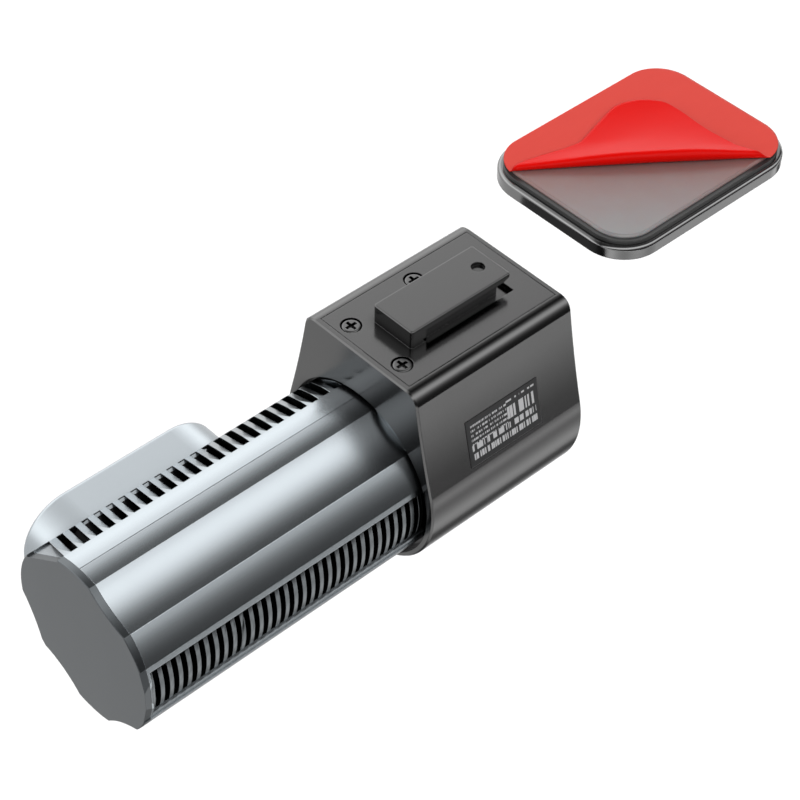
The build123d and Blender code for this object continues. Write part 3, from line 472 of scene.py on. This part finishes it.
def make_liner():
    """The release film, as one thin sheet with a peeled corner."""
    across, along = 120, 90
    half_length, half_width = LINER_SIZE[0] / 2, LINER_SIZE[1] / 2
    mesh = bmesh.new()
    shade = mesh.verts.layers.float.new("folded")
    rows = []
    for row in range(along + 1):
        y = -half_width * math.cos(math.pi * row / along)
        beyond = max(0.0, abs(y) - (half_width - LINER_CORNER))
        reach = half_length - LINER_CORNER + math.sqrt(max(0.0, LINER_CORNER**2 - beyond**2))
        line = []
        for column in range(across + 1):
            place, folded = fold_film(Vector((reach * (2 * column / across - 1), y)))
            corner = mesh.verts.new(place)
            corner[shade] = folded
            line.append(corner)
        rows.append(line)
    for below, above in zip(rows, rows[1:]):
        for column in range(across):
            mesh.faces.new((below[column], below[column + 1], above[column + 1], above[column]))
    for face in mesh.faces:
        face.smooth = True
    data = bpy.data.meshes.new("release_film")
    mesh.to_mesh(data)
    mesh.free()
    film = bpy.data.objects.new("release_film", data)
    bpy.context.scene.collection.objects.link(film)
    thickness = film.modifiers.new("thickness", "SOLIDIFY")
    thickness.thickness = FILM_THICKNESS
    thickness.offset = 0
    data.materials.append(slot_materials["red_film"])
    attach(film, "bracket")
    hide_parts("release_liner")


slot_materials = {
    "gunmetal_gloss": metallic_paint(
        "bracket_gloss", 0.22, 0.13, grain=0.5 * MM, tint=NEUTRAL, groove=0.6
    ),
    "spring_steel": metal("spring_steel", STEEL, 0.26, 0.2 * MM, (8.0, 1.0, 1.0)),
    "black_rubber": moulded("pad_border", rgb(0.030), rgb(0.042), 0.30, 0.3 * MM, 0.004 * MM).material,
    "foam_tape": foam_tape(),
    "red_film": red_film(),
    "dark_plastic": metallic_paint(
        "block_paint", 0.112, 0.165, wear=0.4, grain=0.16 * MM, tint=NEUTRAL
    ),
    "barrel_plastic": metallic_paint(
        "barrel_paint", 0.42, 0.255, shaded_inside=SHELL_INSIDE, shaded_fins=True
    ),
    "black_plastic": moulded("black_plastic", rgb(0.012), rgb(0.017), 0.46, wear=0.6).material,
    "black_gloss": black_gloss(),
    "screw_steel": metal("screw_steel", STEEL, 0.24, 0.1 * MM),
    "label_film": label_film(),
    "circuit_board": circuit_board(),
    "bare_steel": metal("bare_steel", STEEL, 0.30, 0.15 * MM, (1.0, 6.0, 1.0)),
    "capacitor_sleeve": capacitor_sleeve(),
    "bearing_brass": metal("bearing_brass", BRASS, 0.28, 0.2 * MM),
    "cable_jacket": moulded("cable_jacket", rgb(0.010), rgb(0.016), 0.5, 0.2 * MM, 0.01 * MM).material,
    "lens_glass": lens_glass(),
    "chip_epoxy": moulded("chip_epoxy", rgb(0.018), rgb(0.026), 0.55, 0.12 * MM, 0.01 * MM).material,
    "heat_sink_aluminium": metal("heat_sink_aluminium", ALUMINIUM, 0.38, 0.12 * MM, (1.0, 1.0, 9.0)),
    "flex_film": flex_film(),
    "clear_plastic": clear_plastic(),
}
# Inside the barrel the pod's colour is near black as painted shade, the cap over the barrel's
# free end has a darker copy of the paint as painted shade, and the cover's screws are blackened
node_materials = {
    "lens_pod": metallic_paint("pod_paint", 0.44, 0.255, shaded_inside=POD_INSIDE),
    # painted shade: the cap's darker paint stands for the shade on the barrel's free end
    "end_cap": metallic_paint("cap_shaded_paint", 0.120, 0.34),
    "cover_screws": metallic_paint(
        "black_oxide", 0.15, 0.30, wear=0.8, grain=0.2 * MM, tint=NEUTRAL, groove=0.1
    ),
}

for entry in frame["record"]["subparts"]:
    mesh = nodes[entry["node"]].data
    mesh.materials.clear()
    mesh.materials.append(node_materials.get(entry["node"], slot_materials[entry["material_slot"]]))

make_liner()


# ---------------------------------------------------------------- stage
def studio_world():
    """Softboxes as smooth bands round the object, and a pale backdrop that only the camera sees."""
    world = bpy.data.worlds.new("studio")
    world.use_nodes = True
    made, link = world.node_tree.nodes, world.node_tree.links.new
    coords = made.new("ShaderNodeTexCoord")
    split = made.new("ShaderNodeSeparateXYZ")
    link(coords.outputs["Generated"], split.inputs["Vector"])
    flip = made.new("ShaderNodeMath")
    flip.operation = "MULTIPLY"
    flip.inputs[1].default_value = -1.0
    link(split.outputs["Y"], flip.inputs[0])
    angle = made.new("ShaderNodeMath")
    angle.operation = "ARCTAN2"
    link(flip.outputs[0], angle.inputs[0])
    link(split.outputs["Z"], angle.inputs[1])
    turn = made.new("ShaderNodeMapRange")
    turn.inputs["From Min"].default_value = -math.pi
    turn.inputs["From Max"].default_value = math.pi
    link(angle.outputs[0], turn.inputs["Value"])

    ramp = made.new("ShaderNodeValToRGB")
    ramp.color_ramp.interpolation = "EASE"
    stops = ramp.color_ramp.elements
    while len(stops) < len(STUDIO):
        stops.new(0.5)
    brightest = max(level for _, level in STUDIO)
    for stop, (degrees, level) in zip(stops, STUDIO):
        stop.position = (degrees + 180) / 360
        stop.color = rgb(level / brightest)
    link(turn.outputs["Result"], ramp.inputs["Fac"])
    softboxes = made["Background"]
    softboxes.inputs["Strength"].default_value = brightest
    link(ramp.outputs["Color"], softboxes.inputs["Color"])

    backdrop = made.new("ShaderNodeBackground")
    backdrop.inputs["Color"].default_value = rgb(BACKDROP)
    path = made.new("ShaderNodeLightPath")
    choose = made.new("ShaderNodeMixShader")
    link(path.outputs["Is Camera Ray"], choose.inputs["Fac"])
    link(softboxes.outputs["Background"], choose.inputs[1])
    link(backdrop.outputs["Background"], choose.inputs[2])
    link(choose.outputs["Shader"], made["World Output"].inputs["Surface"])
    bpy.context.scene.world = world


def build_stage():
    """Pale floor well below the object, and the studio round it."""
    bpy.ops.mesh.primitive_plane_add(size=FLOOR_SIZE, location=(0, 0, -FLOOR_DROP))
    floor = bpy.context.object
    floor.name = "floor"
    shader = Shader("floor_white", Roughness=0.95, Emission_Strength=FLOOR_GLOW)
    shader.set("Base Color", rgb(0.90))
    shader.set("Emission Color", rgb(1.0))
    floor.data.materials.append(shader.material)
    # glossy surfaces see the studio's softboxes where the floor would be
    floor.visible_glossy = False
    studio_world()
    bpy.context.scene.view_settings.view_transform = "Standard"


def build_camera():
    """The photograph's viewing angle."""
    data = bpy.data.cameras.new("camera")
    data.sensor_width = SENSOR_WIDTH
    data.lens = CAMERA_LENS
    data.clip_start, data.clip_end = 0.01, 20
    camera = bpy.data.objects.new("camera", data)
    right = Vector(CAMERA_RIGHT)
    back = right.cross(Vector(CAMERA_UP)).normalized()
    up = back.cross(right).normalized()
    turn = Matrix((right.normalized(), up, back)).transposed().to_4x4()
    camera.matrix_world = Matrix.Translation(CAMERA_PLACE) @ turn
    bpy.context.scene.collection.objects.link(camera)
    bpy.context.scene.camera = camera


build_stage()
build_camera()
